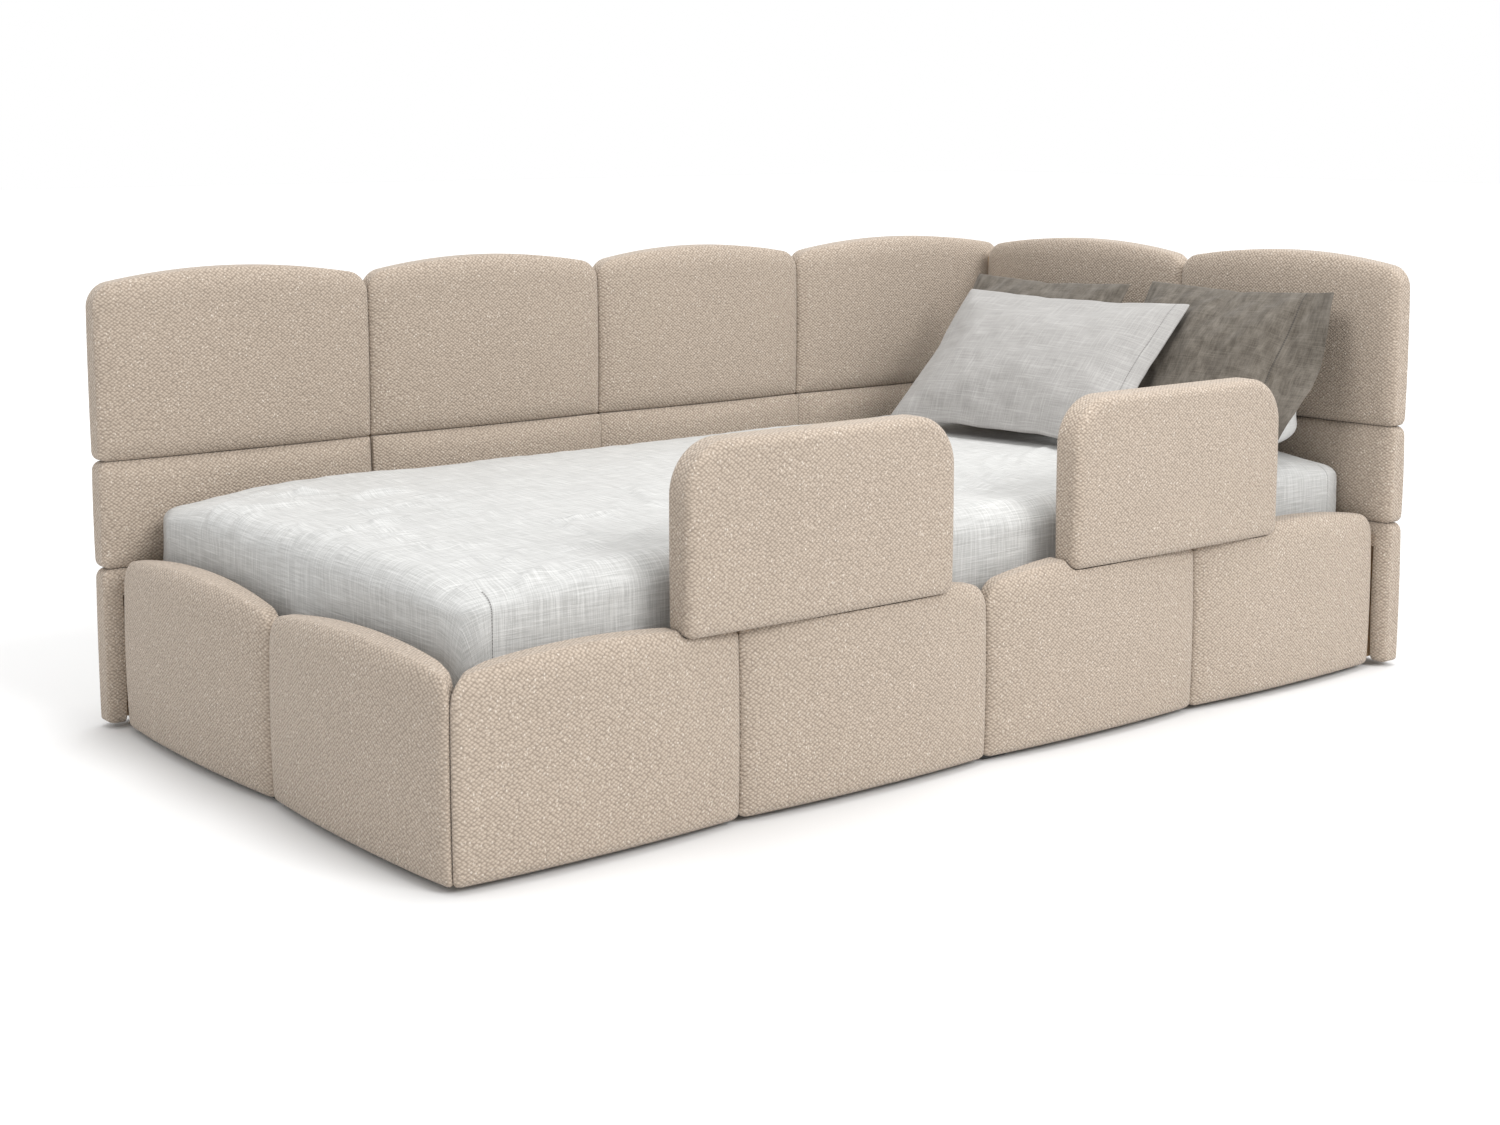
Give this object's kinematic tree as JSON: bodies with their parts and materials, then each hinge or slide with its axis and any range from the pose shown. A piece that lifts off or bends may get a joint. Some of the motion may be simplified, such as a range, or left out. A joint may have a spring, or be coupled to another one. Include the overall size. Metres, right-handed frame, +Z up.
{
  "type": "upholstered corner bed with guard bumpers",
  "caption": "Upholstered single daybed with a tall padded back and head end, low padded rails, lift-out guard bumpers, slatted base, mattress and pillows.",
  "frame": {"origin": "on the floor, at the middle of the bed's outline", "axes": "+X towards the head end, +Y towards the long back, +Z up"},
  "size_m": [2.162, 1.192, 0.7947],
  "materials": {
    "upholstery": "nubby woven boucle",
    "timber": "sanded birch and pine",
    "zinc_steel": "zinc plated",
    "nylon": "moulded",
    "webbing": "woven tape",
    "ticking": "knitted mattress cover",
    "sheet_linen": "slubby pale linen",
    "pillow_linen": "slubby pale grey linen",
    "pillow_white": "pale linen",
    "grey_linen": "washed grey-brown linen"
  },
  "bodies": {
    "bed_frame": {"front_pad_1": "upholstery", "front_pad_2": "upholstery", "front_pad_3": "upholstery", "front_pad_4": "upholstery", "foot_pad_1": "upholstery", "foot_pad_2": "upholstery", "back_low_pad_1": "upholstery", "back_low_pad_2": "upholstery", "back_low_pad_3": "upholstery", "back_low_pad_4": "upholstery", "back_mid_pad_1": "upholstery", "back_mid_pad_2": "upholstery", "back_mid_pad_3": "upholstery", "back_mid_pad_4": "upholstery", "back_top_pad_1": "upholstery", "back_top_pad_2": "upholstery", "back_top_pad_3": "upholstery", "back_top_pad_4": "upholstery", "head_low_pad_1": "upholstery", "head_low_pad_2": "upholstery", "head_mid_pad_1": "upholstery", "head_mid_pad_2": "upholstery", "head_top_pad_1": "upholstery", "head_top_pad_2": "upholstery", "back_lining": "upholstery", "head_lining": "upholstery", "front_rail_board": "timber", "foot_board": "timber", "head_board": "timber", "back_board": "timber", "front_ledge": "timber", "back_ledge": "timber", "centre_beam": "timber", "centre_legs": "timber", "slats": "timber", "beam_hangers": "zinc_steel", "corner_brackets": "zinc_steel", "bracket_bolts": "zinc_steel", "ledge_screws": "zinc_steel", "guard_sockets": "zinc_steel", "socket_screws": "zinc_steel", "leg_feet": "nylon", "floor_glides": "nylon", "slat_tapes": "webbing"},
    "guard_left": {"guard_left_pad": "upholstery", "guard_left_core": "timber", "guard_left_tongues": "zinc_steel", "guard_left_bolts": "zinc_steel"},
    "guard_right": {"guard_right_pad": "upholstery", "guard_right_core": "timber", "guard_right_tongues": "zinc_steel", "guard_right_bolts": "zinc_steel"},
    "mattress_body": {"mattress": "ticking", "fitted_sheet": "sheet_linen"},
    "front_pillow_body": {"front_pillow": "pillow_linen"},
    "grey_left_body": {"grey_pillow_left": "grey_linen"},
    "grey_right_body": {"grey_pillow_right": "grey_linen"},
    "rear_pillow_body": {"rear_pillow": "pillow_white"}
  },
  "joints": [
    {"name": "guard_left_lift", "type": "slide", "parent": "bed_frame", "child": "guard_left", "axis": [0, 0, 1], "range_m": [0, 0.25]},
    {"name": "guard_right_lift", "type": "slide", "parent": "bed_frame", "child": "guard_right", "axis": [0, 0, 1], "range_m": [0, 0.25]},
    {"name": "mattress_lift", "type": "slide", "parent": "bed_frame", "child": "mattress_body", "axis": [0, 0, 1], "range_m": [0, 0.3]},
    {"name": "front_pillow_away", "type": "slide", "parent": "mattress_body", "child": "front_pillow_body", "axis": [-0.7044, -0.0616, 0.7071], "range_m": [0, 0.25]},
    {"name": "grey_left_up", "type": "slide", "parent": "mattress_body", "child": "grey_left_body", "axis": [0.587, 0.0308, 0.809], "range_m": [0, 0.1]},
    {"name": "grey_right_up", "type": "slide", "parent": "mattress_body", "child": "grey_right_body", "axis": [0.5732, 0.02, 0.8192], "range_m": [0, 0.08]},
    {"name": "rear_pillow_out", "type": "slide", "parent": "mattress_body", "child": "rear_pillow_body", "axis": [0, -1, 0], "range_m": [0, 0.25]}
  ]
}
